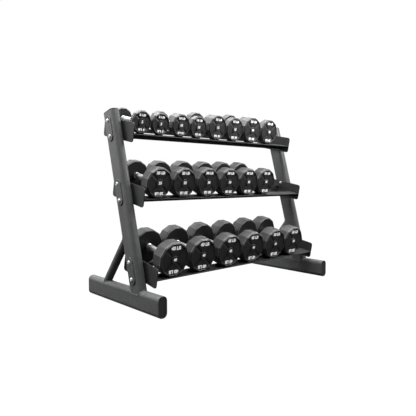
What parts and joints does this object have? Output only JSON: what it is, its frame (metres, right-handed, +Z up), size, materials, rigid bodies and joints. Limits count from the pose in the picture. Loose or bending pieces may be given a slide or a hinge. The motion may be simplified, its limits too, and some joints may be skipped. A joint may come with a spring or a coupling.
{
  "type": "dumbbell rack",
  "caption": "Free-standing steel dumbbell rack with sloping trays bolted between leaning uprights, holding a graded set of faceted dumbbells that lift off to the front.",
  "frame": {"origin": "on the floor, midway between the side frames and midway along the feet", "axes": "+X along the rack, the lighter end to the heavier of each row; -Y to the front; +Z up"},
  "size_m": [1.352, 0.625, 1.0376],
  "materials": {
    "frame_paint": "satin charcoal powder coat",
    "tray_paint": "satin dark charcoal powder coat",
    "cap_plastic": "matt black moulded plastic",
    "zinc": "bright zinc plate",
    "urethane": "matt black urethane skin over an iron core",
    "chrome": "hard chrome, knurled grip"
  },
  "bodies": {
    "rack": {"left_foot": "frame_paint", "left_upright": "frame_paint", "left_brace": "frame_paint", "right_foot": "frame_paint", "right_upright": "frame_paint", "right_brace": "frame_paint", "foot_end_caps": "cap_plastic", "upright_top_caps": "cap_plastic", "top_front_rail": "tray_paint", "top_rear_rail": "tray_paint", "top_end_plates": "tray_paint", "middle_front_rail": "tray_paint", "middle_rear_rail": "tray_paint", "middle_end_plates": "tray_paint", "bottom_front_rail": "tray_paint", "bottom_rear_rail": "tray_paint", "bottom_end_plates": "tray_paint", "bolt_plates": "frame_paint", "tray_bolts": "zinc", "tray_nuts": "zinc"},
    "dumbbell_05_a": {"dumbbell_05_a_heads": "urethane", "dumbbell_05_a_handle": "chrome"},
    "dumbbell_05_b": {"dumbbell_05_b_heads": "urethane", "dumbbell_05_b_handle": "chrome"},
    "dumbbell_10_a": {"dumbbell_10_a_heads": "urethane", "dumbbell_10_a_handle": "chrome"},
    "dumbbell_10_b": {"dumbbell_10_b_heads": "urethane", "dumbbell_10_b_handle": "chrome"},
    "dumbbell_15_a": {"dumbbell_15_a_heads": "urethane", "dumbbell_15_a_handle": "chrome"},
    "dumbbell_15_b": {"dumbbell_15_b_heads": "urethane", "dumbbell_15_b_handle": "chrome"},
    "dumbbell_20_a": {"dumbbell_20_a_heads": "urethane", "dumbbell_20_a_handle": "chrome"},
    "dumbbell_20_b": {"dumbbell_20_b_heads": "urethane", "dumbbell_20_b_handle": "chrome"},
    "dumbbell_25_a": {"dumbbell_25_a_heads": "urethane", "dumbbell_25_a_handle": "chrome"},
    "dumbbell_25_b": {"dumbbell_25_b_heads": "urethane", "dumbbell_25_b_handle": "chrome"},
    "dumbbell_30_a": {"dumbbell_30_a_heads": "urethane", "dumbbell_30_a_handle": "chrome"},
    "dumbbell_30_b": {"dumbbell_30_b_heads": "urethane", "dumbbell_30_b_handle": "chrome"},
    "dumbbell_35_a": {"dumbbell_35_a_heads": "urethane", "dumbbell_35_a_handle": "chrome"},
    "dumbbell_35_b": {"dumbbell_35_b_heads": "urethane", "dumbbell_35_b_handle": "chrome"},
    "dumbbell_40_a": {"dumbbell_40_a_heads": "urethane", "dumbbell_40_a_handle": "chrome"},
    "dumbbell_40_b": {"dumbbell_40_b_heads": "urethane", "dumbbell_40_b_handle": "chrome"},
    "dumbbell_45_a": {"dumbbell_45_a_heads": "urethane", "dumbbell_45_a_handle": "chrome"},
    "dumbbell_45_b": {"dumbbell_45_b_heads": "urethane", "dumbbell_45_b_handle": "chrome"},
    "dumbbell_50_a": {"dumbbell_50_a_heads": "urethane", "dumbbell_50_a_handle": "chrome"},
    "dumbbell_50_b": {"dumbbell_50_b_heads": "urethane", "dumbbell_50_b_handle": "chrome"}
  },
  "joints": [
    {"name": "lift_05_a", "type": "slide", "parent": "rack", "child": "dumbbell_05_a", "axis": [0, -0.9063, 0.4226], "range_m": [0, 0.36]},
    {"name": "lift_05_b", "type": "slide", "parent": "rack", "child": "dumbbell_05_b", "axis": [0, -0.9063, 0.4226], "range_m": [0, 0.36]},
    {"name": "lift_10_a", "type": "slide", "parent": "rack", "child": "dumbbell_10_a", "axis": [0, -0.9063, 0.4226], "range_m": [0, 0.36]},
    {"name": "lift_10_b", "type": "slide", "parent": "rack", "child": "dumbbell_10_b", "axis": [0, -0.9063, 0.4226], "range_m": [0, 0.36]},
    {"name": "lift_15_a", "type": "slide", "parent": "rack", "child": "dumbbell_15_a", "axis": [0, -0.9063, 0.4226], "range_m": [0, 0.36]},
    {"name": "lift_15_b", "type": "slide", "parent": "rack", "child": "dumbbell_15_b", "axis": [0, -0.9063, 0.4226], "range_m": [0, 0.36]},
    {"name": "lift_20_a", "type": "slide", "parent": "rack", "child": "dumbbell_20_a", "axis": [0, -0.9063, 0.4226], "range_m": [0, 0.36]},
    {"name": "lift_20_b", "type": "slide", "parent": "rack", "child": "dumbbell_20_b", "axis": [0, -0.9063, 0.4226], "range_m": [0, 0.36]},
    {"name": "lift_25_a", "type": "slide", "parent": "rack", "child": "dumbbell_25_a", "axis": [0, -0.9063, 0.4226], "range_m": [0, 0.36]},
    {"name": "lift_25_b", "type": "slide", "parent": "rack", "child": "dumbbell_25_b", "axis": [0, -0.9063, 0.4226], "range_m": [0, 0.36]},
    {"name": "lift_30_a", "type": "slide", "parent": "rack", "child": "dumbbell_30_a", "axis": [0, -0.9063, 0.4226], "range_m": [0, 0.36]},
    {"name": "lift_30_b", "type": "slide", "parent": "rack", "child": "dumbbell_30_b", "axis": [0, -0.9063, 0.4226], "range_m": [0, 0.36]},
    {"name": "lift_35_a", "type": "slide", "parent": "rack", "child": "dumbbell_35_a", "axis": [0, -0.9063, 0.4226], "range_m": [0, 0.36]},
    {"name": "lift_35_b", "type": "slide", "parent": "rack", "child": "dumbbell_35_b", "axis": [0, -0.9063, 0.4226], "range_m": [0, 0.36]},
    {"name": "lift_40_a", "type": "slide", "parent": "rack", "child": "dumbbell_40_a", "axis": [0, -0.9063, 0.4226], "range_m": [0, 0.36]},
    {"name": "lift_40_b", "type": "slide", "parent": "rack", "child": "dumbbell_40_b", "axis": [0, -0.9063, 0.4226], "range_m": [0, 0.36]},
    {"name": "lift_45_a", "type": "slide", "parent": "rack", "child": "dumbbell_45_a", "axis": [0, -0.9063, 0.4226], "range_m": [0, 0.36]},
    {"name": "lift_45_b", "type": "slide", "parent": "rack", "child": "dumbbell_45_b", "axis": [0, -0.9063, 0.4226], "range_m": [0, 0.36]},
    {"name": "lift_50_a", "type": "slide", "parent": "rack", "child": "dumbbell_50_a", "axis": [0, -0.9063, 0.4226], "range_m": [0, 0.36]},
    {"name": "lift_50_b", "type": "slide", "parent": "rack", "child": "dumbbell_50_b", "axis": [0, -0.9063, 0.4226], "range_m": [0, 0.36]}
  ]
}
